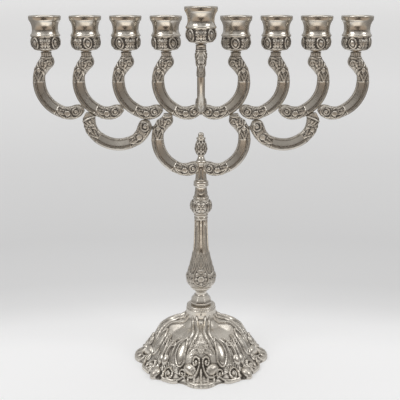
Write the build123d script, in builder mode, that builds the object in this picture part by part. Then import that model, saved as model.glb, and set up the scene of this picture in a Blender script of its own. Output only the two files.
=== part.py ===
"""A nine-light branched candelabrum in antique silver plate: stand, turning branch head, unscrewing cups."""
import os
from math import cos, radians, sin

from build123d import *

# Driving dimensions, in millimetres. The origin is the centre of the base on the table, +Z is up,
# the row of candles runs along X, and the raised ninth candle, the shamash, stands on the -Y side.
cup_pitch = 37.3  # between neighbouring candles in the row
inner_arc_x = 10.0  # arc centre of the innermost arm, from the stem's axis
row_arc_z = 284.0  # arc centres of the arms that carry the row of candles
bowl_arc_x, bowl_arc_z = 79.0, 254.0  # arc centre of each low bowl-shaped arm
main_arc_x, main_arc_z = 11.2, 229.0  # arc centre of each main arm, which grows from the hub
shamash_arc_y, shamash_arc_z = -9.5, 293.0  # arc centre of the shamash arm, which bows towards -Y
bowl_tilt = 50.0  # how far the bowl arms' casting is turned in the plane of the branches

arc_radius = 30.5  # centreline of every arm
arm_width = 12.0  # across the bar, in the plane of its arc
arm_thickness = 7.0
arm_edge_fillet = 2.4
neck_offset = 22.5  # from an arm's arc centre to the axis of its cup
neck_width = 10.7
neck_height = 28.0  # from an arm's arc centre to the top of its neck
solder_gap = 0.04  # between castings that are soldered together

thread_bore = 2.0  # radius of the tapped hole in an arm's neck, for an M4 stud
stud_radius = 1.95
stud_engagement = 7.0  # ten turns of a 0.7 mm pitch
running_gap = 0.05  # between faces that slide over each other
seat_radius, seat_thickness = 5.3, 0.8
cup_bore_radius = 11.0  # for a 22 mm candle
cup_height = 31.3
cup_floor = 5.6

rod_radius = 2.45  # M5 tie rod
rod_clearance = 2.75
rod_thread_bore = 2.5
base_top = 59.5
ceiling = 44.0  # underside of the base's solid neck
knob_top = 69.8
foot_top = 77.0
shaft_top = 152.0
knop_top = 170.0
ring_top = 172.2
spool_top = 188.0
hub_top = 204.0
hub_flat = 5.4  # half the distance between the ends of the two main arms
rod_top = 209.3

arm_outer = arc_radius + arm_width / 2
arm_inner = arc_radius - arm_width / 2
row_arc_x = [inner_arc_x + i * cup_pitch for i in range(4)]  # from the innermost arm outwards


def polar(radius, degrees):
    """A point given by its radius and angle."""
    return radius * cos(radians(degrees)), radius * sin(radians(degrees))


def save(part, label):
    """Labels a finished piece and writes its STEP file."""
    part.label = label
    export_step(part, f"parts/{label}.step")


def upright(x, y, z):
    """A vertical plane through a point, facing -Y, whose sketch axes are the model's X and Z."""
    return Plane(origin=(x, y, z), x_dir=(1, 0, 0), z_dir=(0, -1, 0))


def arm_plane(side, x, z, tilt=0.0):
    """The sketch plane of an arm on the left (side -1) or the right (side 1), its head facing outwards."""
    along = (-side * cos(radians(tilt)), 0, sin(radians(tilt)))
    return Plane(origin=(side * x, 0, z), x_dir=along, z_dir=(0, side, 0))


def bar_arm(plane, headed, neck=None, discs=(), cut_side=0, cut_x=0.0, notch_top=None):
    """An arm casting: an arc of bar with a bulged tail and, if headed, a bulged head and a neck.

    neck is the centre of the neck's top face, where a cup screws on. discs are the arc centres of the
    arms it is soldered against, whose outlines are cut away. cut_side and cut_x cut it off at an
    upright plane, and notch_top is the height of a step that sits it on the arms behind it."""
    with BuildPart() as arm:
        with BuildSketch(plane):
            with BuildLine():
                start = 150 if headed else 130
                tail = CenterArc((0, 0), arm_outer, start, 281 - start)
                if headed:
                    left, right = -neck_offset - neck_width / 2, -neck_offset + neck_width / 2
                    top = neck_height - 0.6
                    inner = CenterArc((0, 0), arm_inner, 160, 102)
                    Spline(tail @ 0, (left, 24.5), tangents=(-(tail % 0), (0, 1)))
                    Polyline((left, 24.5), (left, top), (right, top), (right, 24))
                    Spline((right, 24), (-15.7, 18), (-18.3, 12.6), inner @ 0, tangents=((0, -1), inner % 0))
                else:
                    inner = CenterArc((0, 0), arm_inner, start, 262 - start)
                    Line(tail @ 0, inner @ 0)
                Spline(
                    tail @ 1, (11.3, -28.5), (8.6, -23.2), (3.5, -22.3), inner @ 1,
                    tangents=(tail % 1, -(inner % 1)),
                )
            make_face()
        extrude(amount=arm_thickness / 2, both=True)
        fillet(arm.faces().filter_by(Axis(plane.origin, plane.z_dir)).edges(), radius=arm_edge_fillet)
        if neck:
            with BuildSketch(Plane(origin=neck)):
                Circle(seat_radius)
            extrude(amount=-1.2)
            with BuildSketch(Plane(origin=neck)):
                Circle(thread_bore)
            extrude(amount=-stud_engagement - 1.2, mode=Mode.SUBTRACT)
        for x, z in discs:
            with BuildSketch(upright(x, 0, z)):
                Circle(arm_outer + solder_gap)
            extrude(amount=arm_thickness, both=True, mode=Mode.SUBTRACT)
        if cut_side:
            split(bisect_by=Plane.YZ.offset(cut_side * cut_x), keep=Keep.TOP if cut_side > 0 else Keep.BOTTOM)
        if notch_top:
            with BuildSketch(Plane.YZ):
                with Locations((arm_outer - arm_thickness / 2 - solder_gap, notch_top - arm_outer)):
                    Rectangle(2 * arm_outer, 2 * arm_outer)
            extrude(amount=arm_thickness, both=True, mode=Mode.SUBTRACT)
    return arm.part


def candle_cup(x, y, z):
    """A candle cup standing on a point: ornate bowl, bead, waisted wall, lip, bore and a counterbored floor."""
    with BuildPart() as cup:
        with BuildSketch(upright(x, y, z)):
            with BuildLine():
                Polyline((12.8, cup_height), (13.9, cup_height))
                Spline((13.9, cup_height), (14.8, 30.2), (14.7, 27.4), tangents=((1, 0), (-0.1, -1)))
                Spline((14.7, 27.4), (13.3, 25.3), (12.0, 18.5), (12.9, 15.4))
                ThreePointArc((12.9, 15.4), (13.6, 13.8), (12.8, 12.2))
                Spline((12.8, 12.2), (13.9, 7.0), (12.4, 3.2), (8.5, 0), tangents=((0.6, -1), (-1, -0.2)))
                Polyline(
                    (8.5, 0), (2.1, 0), (2.1, 2.6), (4.2, 2.6), (4.2, cup_floor), (cup_bore_radius, cup_floor),
                    (cup_bore_radius, 29), (12.8, cup_height),
                )
            make_face()
        revolve(axis=Axis((x, y, z), (0, 0, 1)))
    return cup.part


def cup_stud(x, y, z):
    """The slotted stud that holds a cup, given the underside of the cup: its head sits in the cup's floor."""
    head_bottom = 2.6 + solder_gap
    with BuildPart() as stud:
        with BuildSketch(Plane(origin=(x, y, z + head_bottom))):
            Circle(3.9)
        extrude(amount=2.5)
        fillet(stud.faces().sort_by(Axis.Z)[-1].edges(), radius=0.8)
        with BuildSketch(Plane(origin=(x, y, z + head_bottom))):
            Circle(stud_radius)
        extrude(amount=-(head_bottom + seat_thickness + 2 * running_gap + stud_engagement))
        with BuildSketch(Plane(origin=(x, y, z + head_bottom + 2.5))):
            Rectangle(9, 1)
        extrude(amount=-1.1, mode=Mode.SUBTRACT)
    return stud.part


def cup_seat(x, y, z):
    """The thin ring between an arm's neck and its cup, given the top of the neck."""
    with BuildPart() as seat:
        with BuildSketch(Plane(origin=(x, y, z + running_gap))):
            Circle(seat_radius)
            Circle(stud_radius + 0.2, mode=Mode.SUBTRACT)
        extrude(amount=seat_thickness)
    return seat.part


def candle_place(place, x, y, neck_top):
    """The cup, stud and seat on one neck."""
    cup_bottom = neck_top + seat_thickness + 2 * running_gap
    save(candle_cup(x, y, cup_bottom), f"candle_cup_{place}")
    save(cup_stud(x, y, cup_bottom), f"cup_stud_{place}")
    save(cup_seat(x, y, neck_top), f"cup_seat_{place}")


def lobed_outline(inset):
    """Points round the base's edge: a shell lobe on each side, a scroll at each corner, notches between."""
    quarter = [(0, 70), (11, 67.5), (18.6, 55.5), (27.5, 64.4), (37, 65.7), (45, 70)]
    mirrored = [(90 - angle, radius) for angle, radius in quarter[-2:0:-1]]
    return [
        polar(radius - inset, angle + 90 * turn)
        for turn in range(4)
        for angle, radius in quarter + mirrored
    ]


os.makedirs("parts", exist_ok=True)

# Base: a hollow lobed dome with a solid neck, open underneath.
wall = 3.5
rim_height = 3.0
skirt_top = 14.5
with BuildPart() as base:
    with BuildSketch():
        with BuildLine():
            Spline(*lobed_outline(0), periodic=True)
        make_face()
    extrude(amount=rim_height)
    with BuildSketch(Plane.XY.offset(rim_height)):
        with BuildLine():
            Spline(*lobed_outline(0), periodic=True)
        make_face()
    with BuildSketch(Plane.XY.offset(skirt_top)):
        Circle(57.5)
    loft()
    with BuildSketch(Plane.XZ):
        with BuildLine():
            Polyline((0, base_top), (0, skirt_top), (57.5, skirt_top))
            Spline((57.5, skirt_top), (50.5, 22), (45, 28.9), (41, 35.5), (33.6, 43), (25.5, 47.7), (17, 49))
            Spline((17, 49), (15.2, 52), (15, 55.4), (13.5, base_top), tangents=((-1, 0.5), (-0.6, 1)))
            Line((13.5, base_top), (0, base_top))
        make_face()
    revolve()
    with BuildSketch():
        with BuildLine():
            Spline(*lobed_outline(wall), periodic=True)
        make_face()
    with BuildSketch(Plane.XY.offset(skirt_top - 1)):
        Circle(57.5 - wall)
    loft(mode=Mode.SUBTRACT)
    with BuildSketch(Plane.XZ):
        with BuildLine():
            Polyline((22, ceiling), (0, ceiling), (0, skirt_top - 1), (57.5 - wall, skirt_top - 1))
            Spline((57.5 - wall, skirt_top - 1), (47.5, 20.5), (42, 27.2), (38, 33.6), (31, 40.4), (22, ceiling))
        make_face()
    revolve(mode=Mode.SUBTRACT)
    with BuildSketch(Plane.XY.offset(base_top)):
        Circle(rod_clearance)
    extrude(amount=ceiling - base_top - 1, mode=Mode.SUBTRACT)
save(base.part, "base")

# Nut and washer that pull the stem down onto the base.
with BuildPart() as washer:
    with BuildSketch(Plane.XY.offset(ceiling)):
        Circle(9)
        Circle(rod_clearance, mode=Mode.SUBTRACT)
    extrude(amount=-1)
save(washer.part, "base_washer")

with BuildPart() as nut:
    with BuildSketch(Plane.XY.offset(ceiling - 1)):
        RegularPolygon(radius=4, side_count=6, major_radius=False)
        Circle(rod_thread_bore, mode=Mode.SUBTRACT)
    extrude(amount=-4)
save(nut.part, "base_nut")

# Tie rod through the whole stem, from below the nut up into the finial.
with BuildPart() as tie_rod:
    with BuildSketch(Plane.XY.offset(ceiling - 7.5)):
        Circle(rod_radius)
    extrude(amount=rod_top - ceiling + 7.5)
    chamfer(tie_rod.edges(), length=0.5)
save(tie_rod.part, "tie_rod")

# Faceted knob on the base's neck.
with BuildPart() as knob:
    for z, radius in ((base_top, 10.2), (62.2, 11.1), (65.1, 9.9), (knob_top, 6.8)):
        with BuildSketch(Plane.XY.offset(z)):
            RegularPolygon(radius=radius, side_count=8)
    loft(ruled=True)
    with BuildSketch(Plane.XY.offset(knob_top)):
        Circle(rod_clearance)
    extrude(amount=base_top - knob_top, mode=Mode.SUBTRACT)
save(knob.part, "faceted_knob")

# Turned foot of the shaft.
with BuildPart() as foot:
    with BuildSketch(Plane.XZ):
        with BuildLine():
            Spline((6.2, knob_top), (5.7, 71), (7.0, 75.6), (9.6, foot_top))
            Polyline((9.6, foot_top), (rod_clearance, foot_top), (rod_clearance, knob_top), (6.2, knob_top))
        make_face()
    revolve()
save(foot.part, "shaft_foot")

# Baluster shaft: a bulb low down that tapers to a slim top.
with BuildPart() as shaft:
    with BuildSketch(Plane.XZ):
        with BuildLine():
            Spline(
                (9.8, foot_top), (14.6, 84.7), (14.7, 90), (9.9, 105.9), (7.5, 121.7), (6.2, shaft_top),
                tangents=((0.7, 1), (0, 1)),
            )
            Polyline((6.2, shaft_top), (rod_clearance, shaft_top), (rod_clearance, foot_top), (9.8, foot_top))
        make_face()
    revolve()
save(shaft.part, "baluster_shaft")

# Flower knop with four rosettes.
with BuildPart() as knop:
    with BuildSketch(Plane.XZ):
        with BuildLine():
            Spline((6.2, shaft_top), (9.3, 159.5), (9.8, 165), (7.0, knop_top), tangents=((0.4, 1), (-1, 0.4)))
            Polyline((7.0, knop_top), (rod_clearance, knop_top), (rod_clearance, shaft_top), (6.2, shaft_top))
        make_face()
    revolve()
    for turn in range(4):
        with BuildSketch(Plane(origin=(0, 0, 163), z_dir=(*polar(1, 90 * turn), 0)).offset(rod_clearance + 2)):
            Circle(4.6)
        extrude(amount=6)
save(knop.part, "flower_knop")

# Beaded ring above the knop.
with BuildPart() as knop_ring:
    with BuildSketch(Plane.XY.offset(knop_top)):
        Circle(7.6)
        Circle(rod_clearance, mode=Mode.SUBTRACT)
    extrude(amount=ring_top - knop_top)
    fillet(knop_ring.edges().group_by(SortBy.LENGTH)[-1], radius=0.9)
save(knop_ring.part, "knop_ring")

# Spool that the branch head turns on.
with BuildPart() as spool:
    with BuildSketch(Plane.XZ):
        with BuildLine():
            Spline((6.6, ring_top), (5.8, 180), (5.6, 182.6), (7.2, 183.6))
            Spline((7.2, 183.6), (7.4, 185.7), (6.4, spool_top), tangents=((0.6, 1), (-1, 0.2)))
            Polyline((6.4, spool_top), (rod_clearance, spool_top), (rod_clearance, ring_top), (6.6, ring_top))
        make_face()
    revolve()
save(spool.part, "stem_spool")

# Hub of the branch head: an eight-sided taper that turns on the tie rod.
with BuildPart() as hub:
    for z, flat in ((spool_top + running_gap, 5.3), (hub_top, 4.2)):
        with BuildSketch(Plane.XY.offset(z)):
            RegularPolygon(radius=flat, side_count=8, major_radius=False, rotation=22.5)
    loft()
    with BuildSketch(Plane.XY.offset(hub_top)):
        Circle(rod_radius + running_gap)
    extrude(amount=spool_top - hub_top, mode=Mode.SUBTRACT)
save(hub.part, "branch_hub")

# Collar and finial that hold the branch head down.
collar_bottom = hub_top + running_gap
collar_radius = 3.6
with BuildPart() as collar:
    with BuildSketch(Plane.XZ):
        with BuildLine():
            Spline((4.2, collar_bottom), (4.8, 206.8), (4.3, 208.4), tangents=((0, 1), (-0.6, 1)))
            Polyline(
                (4.3, 208.4), (collar_radius + running_gap, 208.4), (collar_radius + running_gap, collar_bottom),
                (4.2, collar_bottom),
            )
        make_face()
    revolve()
save(collar.part, "finial_collar")

with BuildPart() as finial:
    with BuildSketch(Plane.XZ):
        with BuildLine():
            Polyline(
                (0, 209.6), (rod_thread_bore, 209.6), (rod_thread_bore, collar_bottom),
                (collar_radius, collar_bottom), (collar_radius, 208.45), (4.1, 208.45), (3.6, 210.2),
            )
            Spline((3.6, 210.2), (2.9, 212.3), (5.2, 215.8), (6.1, 220.3), (4.4, 227.2), (3.4, 228.6))
            ThreePointArc((3.4, 228.6), (4.2, 229.8), (3.2, 230.9))
            ball = CenterArc((0, 232.6), 2.8, -35, 125)
            Line((3.2, 230.9), ball @ 0)
            Line(ball @ 1, (0, 209.6))
        make_face()
    revolve()
save(finial.part, "finial")

# Arms of the branch head, and the cups on them. Places are numbered from the left, one to eight.
neck_top = row_arc_z + neck_height
for side, places in ((-1, (4, 3, 2, 1)), (1, (5, 6, 7, 8))):
    hand = "left" if side < 0 else "right"
    for i, place in enumerate(places):
        cup_x = side * (row_arc_x[i] + neck_offset)
        arm = bar_arm(
            arm_plane(side, row_arc_x[i], row_arc_z),
            headed=True,
            neck=(cup_x, 0, neck_top),
            discs=[(side * row_arc_x[i - 1], row_arc_z)] if i else [],
            cut_side=0 if i else side,
            cut_x=solder_gap / 2,
        )
        save(arm, f"arm_{place}")
        candle_place(place, cup_x, 0, neck_top)
    bowl = bar_arm(
        arm_plane(side, bowl_arc_x, bowl_arc_z, bowl_tilt),
        headed=False,
        discs=[(side * x, row_arc_z) for x in row_arc_x[1:]] + [(side * main_arc_x, main_arc_z)],
    )
    save(bowl, f"bowl_arm_{hand}")
    main = bar_arm(
        arm_plane(side, main_arc_x, main_arc_z),
        headed=True,
        discs=[(side * x, row_arc_z) for x in row_arc_x[:2]],
        cut_side=side,
        cut_x=hub_flat,
    )
    save(main, f"main_arm_{hand}")

shamash_cup_y = shamash_arc_y - neck_offset
shamash_neck_top = shamash_arc_z + neck_height
shamash_arm = bar_arm(
    Plane(origin=(0, shamash_arc_y, shamash_arc_z), x_dir=(0, 1, 0), z_dir=(1, 0, 0)),
    headed=True,
    neck=(0, shamash_cup_y, shamash_neck_top),
    notch_top=row_arc_z - 20.4,
)
save(shamash_arm, "shamash_arm")
candle_place("shamash", 0, shamash_cup_y, shamash_neck_top)

# Solder where the castings meet: short pins of metal across each joint.
solder_angle = 222.0  # round an arm's outer edge, where its outer neighbour's tail touches it
solder_radius = 1.3
solder_points = [(0, row_arc_z - 29), (0, row_arc_z - 25)]
for side in (-1, 1):
    touch_x, touch_z = polar(arm_outer, solder_angle)
    for x in row_arc_x[:3]:
        solder_points.append((side * (x - touch_x), row_arc_z + touch_z))
    for x in row_arc_x[:4]:
        foot_x, foot_z = polar(arm_outer, 282)
        solder_points.append((side * (x - foot_x), row_arc_z + foot_z))
    solder_points.append((side * hub_flat, main_arc_z - arc_radius + 1))
with BuildPart() as solder:
    for x, z in solder_points:
        with BuildSketch(upright(x, 0, z)):
            Circle(solder_radius)
        extrude(amount=arm_thickness / 2 - 1, both=True)
save(solder.part, "solder_joints")
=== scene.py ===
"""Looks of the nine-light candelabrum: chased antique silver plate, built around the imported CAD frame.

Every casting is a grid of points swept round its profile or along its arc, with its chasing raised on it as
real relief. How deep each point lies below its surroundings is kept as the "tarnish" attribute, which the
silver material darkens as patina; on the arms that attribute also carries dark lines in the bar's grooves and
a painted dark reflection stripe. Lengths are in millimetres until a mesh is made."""

import bmesh
import bpy
import numpy as np
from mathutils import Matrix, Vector

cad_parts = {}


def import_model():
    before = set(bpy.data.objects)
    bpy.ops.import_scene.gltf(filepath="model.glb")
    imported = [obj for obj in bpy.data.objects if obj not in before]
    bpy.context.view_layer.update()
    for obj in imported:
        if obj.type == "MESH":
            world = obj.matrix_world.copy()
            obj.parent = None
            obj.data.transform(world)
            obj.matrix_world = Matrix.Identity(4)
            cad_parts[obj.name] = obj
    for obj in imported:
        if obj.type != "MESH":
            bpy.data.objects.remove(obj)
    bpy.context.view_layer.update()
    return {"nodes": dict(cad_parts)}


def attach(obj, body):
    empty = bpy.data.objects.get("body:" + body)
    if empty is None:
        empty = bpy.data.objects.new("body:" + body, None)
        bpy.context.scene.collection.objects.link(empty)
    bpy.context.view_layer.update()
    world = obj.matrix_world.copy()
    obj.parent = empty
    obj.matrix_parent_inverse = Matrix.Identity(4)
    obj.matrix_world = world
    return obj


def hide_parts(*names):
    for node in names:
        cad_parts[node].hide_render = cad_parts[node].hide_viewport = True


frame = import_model()

METRES = 0.001
FRONT = -90.0  # azimuth of the side that faces the camera, in degrees from +X

# Dimensions shared with the CAD frame.
cup_pitch = 37.3
row_arc_x = [10.0 + i * cup_pitch for i in range(4)]
row_arc_z = 284.0
bowl_arc_x, bowl_arc_z, bowl_tilt = 79.0, 254.0, 50.0
main_arc_x, main_arc_z = 11.2, 229.0
shamash_arc_y, shamash_arc_z = -9.5, 293.0
neck_offset, neck_height = 22.5, 28.0
bar_outer, bar_inner = 36.5, 24.5
bar_touch = bar_outer - 0.3  # how near an arm comes to the middle of its neighbour's arc
seat_height = 0.9  # from the top of a neck to the underside of its cup


# ---- relief drawn on a flat sheet

def rise(value, low, high):
    """Smoothly from 0 at low to 1 at high."""
    t = np.clip((value - low) / (high - low), 0, 1)
    return t * t * (3 - 2 * t)


def dome(distance):
    """A round-topped bump: 1 at distance 0, falling to 0 at distance 1."""
    return np.sqrt(np.clip(1 - distance * distance, 0, 1))


def swell(distance):
    """A bump with a softer foot than a dome's."""
    return np.clip(1 - distance * distance, 0, 1)


def smooth_path(points, steps=8):
    """A smooth curve through 2-D points."""
    p = np.array(points, float)
    p = np.vstack([2 * p[0] - p[1], p, 2 * p[-1] - p[-2]])
    t = np.linspace(0, 1, steps, endpoint=False)[:, None]
    curve = []
    for a, b, c, d in zip(p, p[1:], p[2:], p[3:]):
        curve.append(b + 0.5 * t * (c - a + t * (2 * a - 5 * b + 4 * c - d + t * (3 * (b - c) + d - a))))
    return np.vstack(curve + [p[-2:-1]])


def follow(path, x, y):
    """The distance of every point from a path, and how far along the path it lies, from 0 to 1."""
    steps = np.hypot(*np.diff(path, axis=0).T)
    nearest = np.full(np.shape(x), 1e9)
    share = np.zeros(np.shape(x))
    walked = 0.0
    for (ax, ay), (bx, by), step in zip(path, path[1:], steps):
        ux, uy = (bx - ax) / step, (by - ay) / step
        t = np.clip((x - ax) * ux + (y - ay) * uy, 0, step)
        d = np.hypot(x - ax - t * ux, y - ay - t * uy)
        share = np.where(d < nearest, (walked + t) / steps.sum(), share)
        nearest = np.minimum(d, nearest)
        walked += step
    return nearest, share


def wire(x, y, points, width, height, ends=(0.5, 0.5)):
    """A rounded raised line whose width tapers to a share of itself at each end."""
    d, share = follow(smooth_path(points), x, y)
    half = width / 2 * np.interp(share, (0, 0.35, 0.65, 1), (ends[0], 1, 1, ends[1]))
    return height * swell(d / half)


def leaf(x, y, points, width, height):
    """A pointed leaf along a path, ribbed on both sides of a groove down its middle."""
    d, share = follow(smooth_path(points), x, y)
    half = width / 2 * np.interp(share, (0, 0.3, 0.7, 1), (0.35, 1, 0.7, 0.08))
    vein = 0.45 * np.exp(-(d / (0.12 * width)) ** 2)
    ribs = 0.12 * np.cos(2 * np.pi * (7 * share - 1.5 * d / width))
    return height * swell(d / half) * (1 - vein + ribs)


def spiral(x, y, centre, radius, start, turns, width, height, tall=1.0):
    """A raised scroll that winds inwards, stretched along y; negative turns wind clockwise."""
    y = centre[1] + (y - centre[1]) / tall
    t = np.linspace(0, 1, int(10 * abs(turns)) + 2)
    angle = np.radians(start) + 2 * np.pi * turns * t
    reach = radius * (1 - 0.86 * t)
    path = np.stack([centre[0] + reach * np.cos(angle), centre[1] + reach * np.sin(angle)], axis=1)
    d, share = follow(path, x, y)
    eye = dome(np.hypot(x - centre[0], y - centre[1]) / (0.3 * radius))
    return height * np.maximum(dome(d / (width / 2 * (1.1 - 0.4 * share))), eye)


def rosette(x, y, centre, radius, petals, height):
    """A flower with a button in the middle."""
    dx, dy = x - centre[0], y - centre[1]
    r = np.hypot(dx, dy) / radius
    petal = np.abs(np.cos(petals / 2 * np.arctan2(dy, dx)))
    ring = dome((r - 0.62) / 0.38) * (0.35 + 0.65 * petal)
    return height * np.maximum(ring, 1.1 * dome(r / 0.3))


def stipple(x, y, pitch, height):
    """Ground covered with small, slightly uneven punched dots."""
    u = np.pi / pitch * (0.92 * x + 0.39 * y) + 0.9 * np.sin(0.7 * y / pitch)
    v = np.pi / pitch * (0.92 * y - 0.39 * x) + 0.9 * np.sin(0.8 * x / pitch)
    return height * np.sin(u) * np.sin(v)


def highest(*layers):
    """The uppermost of several reliefs."""
    return np.maximum.reduce(layers)


def pens(x, y, place=lambda *point: point):
    """Wire, leaf and spiral for drawing on one sheet, with every given point moved by place."""
    def line(points, *shape):
        return wire(x, y, [place(*point) for point in points], *shape)

    def frond(points, *shape):
        return leaf(x, y, [place(*point) for point in points], *shape)

    def curl(centre, *shape):
        return spiral(x, y, place(*centre), *shape)
    return line, frond, curl


# ---- grids and meshes

def blurred(field, passes):
    """A relief smoothed over its neighbours, wrapping round its columns."""
    for _ in range(passes):
        field = (field + np.roll(field, 1, 1) + np.roll(field, -1, 1)) / 3
        padded = np.vstack([field[:1], field, field[-1:]])
        field = (padded[:-2] + padded[1:-1] + padded[2:]) / 3
    return field


def grid_normals(points):
    """Outward normals of a grid whose rows run along the piece and whose columns go round it."""
    around = np.roll(points, -1, 1) - np.roll(points, 1, 1)
    forward = np.gradient(points, axis=0)
    normal = np.cross(around, forward)
    if (points * normal).sum() < 0:  # this sum has the sign of the volume that the normals see as inside
        normal = -normal
    return normal / np.maximum(np.linalg.norm(normal, axis=2, keepdims=True), 1e-9)


def spaced(path, count):
    """A path's points put at even distances."""
    walked = np.concatenate([[0], np.cumsum(np.linalg.norm(np.diff(path, axis=0), axis=1))])
    at = np.linspace(0, walked[-1], count)
    return np.stack([np.interp(at, walked, column) for column in path.T], axis=1)


def show(name, node, body, slot, material, grids, **fields):
    """Puts one piece in place of a CAD node, made from grids of points that join up round their columns.

    The fields are values for each point. A grid's first and last rows are left open unless they meet."""
    quads, first = [], 0
    for points in grids:
        rows, columns = points.shape[:2]
        index = first + np.arange(rows * columns).reshape(rows, columns)
        right = np.roll(index, -1, 1)
        quads.append(np.stack([index[:-1], right[:-1], right[1:], index[1:]], axis=-1).reshape(-1, 4))
        first += rows * columns
    corners = np.vstack([points.reshape(-1, 3) for points in grids]) * METRES
    mesh = bpy.data.meshes.new(name)
    mesh.from_pydata(corners.tolist(), [], np.vstack(quads).tolist())
    for key, field in fields.items():
        mesh.attributes.new(key, "FLOAT", "POINT").data.foreach_set("value", field.ravel())

    sheet = bmesh.new()
    sheet.from_mesh(mesh)
    bmesh.ops.remove_doubles(sheet, verts=sheet.verts, dist=2e-6)
    bmesh.ops.recalc_face_normals(sheet, faces=sheet.faces)
    sheet.to_mesh(mesh)
    sheet.free()
    mesh.shade_smooth()
    mesh.materials.append(material)

    piece = bpy.data.objects.new(name, mesh)
    bpy.context.scene.collection.objects.link(piece)
    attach(piece, body)
    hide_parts(node)


def tarnish_of(relief, black_at):
    """How dark each point is: its depth below its surroundings as a share of the depth that is black."""
    below = 0.7 * (blurred(relief, 3) - relief) + 0.5 * (blurred(relief, 14) - relief)
    return np.clip(below / black_at, -1, 1)


def grid_piece(name, node, body, points, relief, black_at=0.22, **fields):
    """A silver piece made from a grid of points pushed out along their normals by a relief."""
    relief = 0.5 * relief + 0.5 * blurred(relief, 1)
    points = points + grid_normals(points) * relief[:, :, None]
    show(name, node, body, "silver_plate", silver, [points], tarnish=tarnish_of(relief, black_at), **fields)


def revolved(profile, segments):
    """A grid round the Z axis from (radius, height) points, with each point's angle and height."""
    angle = np.linspace(0, 2 * np.pi, segments, endpoint=False)
    radius, height = profile[:, 0, None], profile[:, 1, None]
    points = np.stack([radius * np.cos(angle), radius * np.sin(angle), height + 0 * angle], axis=-1)
    degrees = np.degrees(angle)[None, :] + 0 * radius
    return points, degrees, height + 0 * degrees


def turned(*runs):
    """A profile from runs of (count, points): each run is smooth, with a corner where it meets the next."""
    paths = [spaced(smooth_path(points), count) for count, points in runs]
    return np.vstack([paths[0]] + [path[1:] for path in paths[1:]])


def from_front(degrees, repeats):
    """The angle from the nearest of several evenly spaced mid-lines, one of which faces the front."""
    step = 360 / repeats
    return (degrees - FRONT + step / 2) % step - step / 2


# ---- materials

def new_material(name):
    """A material holding only its output and a Principled shader, returned with its node tree."""
    material = bpy.data.materials.new(name)
    material.use_nodes = True
    return material, material.node_tree, material.node_tree.nodes["Principled BSDF"]


def noise(tree, scale, detail=4.0, stretch=(1, 1, 1)):
    """A noise texture in the object's own coordinates."""
    place = tree.nodes.new("ShaderNodeTexCoord")
    mapping = tree.nodes.new("ShaderNodeMapping")
    texture = tree.nodes.new("ShaderNodeTexNoise")
    mapping.inputs["Scale"].default_value = stretch
    texture.inputs["Scale"].default_value = scale
    texture.inputs["Detail"].default_value = detail
    tree.links.new(place.outputs["Object"], mapping.inputs["Vector"])
    tree.links.new(mapping.outputs["Vector"], texture.inputs["Vector"])
    return texture.outputs["Fac"]


def ramp(tree, value, *stops):
    """A socket that maps a value through (position, colour) stops."""
    node = tree.nodes.new("ShaderNodeValToRGB")
    elements = node.color_ramp.elements
    while len(elements) < len(stops):
        elements.new(0.5)
    for element, (position, colour) in zip(elements, stops):
        element.position = position
        element.color = (*colour, 1)
    tree.links.new(value, node.inputs["Fac"])
    return node.outputs["Color"]


def remap(tree, value, low, high, to_low, to_high):
    """A socket that maps a value's range to another range."""
    node = tree.nodes.new("ShaderNodeMapRange")
    tree.links.new(value, node.inputs["Value"])
    for key, number in zip(("From Min", "From Max", "To Min", "To Max"), (low, high, to_low, to_high)):
        node.inputs[key].default_value = number
    return node.outputs["Result"]


def mix(tree, share, a, b):
    """A colour mixed from a to b by a share; a and b are sockets or colours."""
    node = tree.nodes.new("ShaderNodeMix")
    node.data_type = "RGBA"
    for key, value in (("Factor", share), ("A", a), ("B", b)):
        socket = next(s for s in node.inputs if s.name == key and s.enabled)
        if hasattr(value, "node"):
            tree.links.new(value, socket)
        else:
            socket.default_value = (*value, 1) if isinstance(value, tuple) else value
    return next(s for s in node.outputs if s.enabled)


def math_node(tree, operation, a, b=0.0, clamp=True):
    """The result of a sum on sockets or numbers, kept between 0 and 1 if clamped."""
    node = tree.nodes.new("ShaderNodeMath")
    node.operation = operation
    node.use_clamp = clamp
    for socket, value in zip(node.inputs, (a, b)):
        if hasattr(value, "node"):
            tree.links.new(value, socket)
        else:
            socket.default_value = value
    return node.outputs["Value"]


def bump(tree, shader, height, distance, strength):
    """Roughens a shader's surface by a height."""
    node = tree.nodes.new("ShaderNodeBump")
    node.inputs["Distance"].default_value = distance
    node.inputs["Strength"].default_value = strength
    tree.links.new(height, node.inputs["Height"])
    tree.links.new(node.outputs["Normal"], shader.inputs["Normal"])


def attribute(tree, name):
    """The value that a mesh's points carry under a name."""
    node = tree.nodes.new("ShaderNodeAttribute")
    node.attribute_name = name
    return node.outputs["Fac"]


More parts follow.
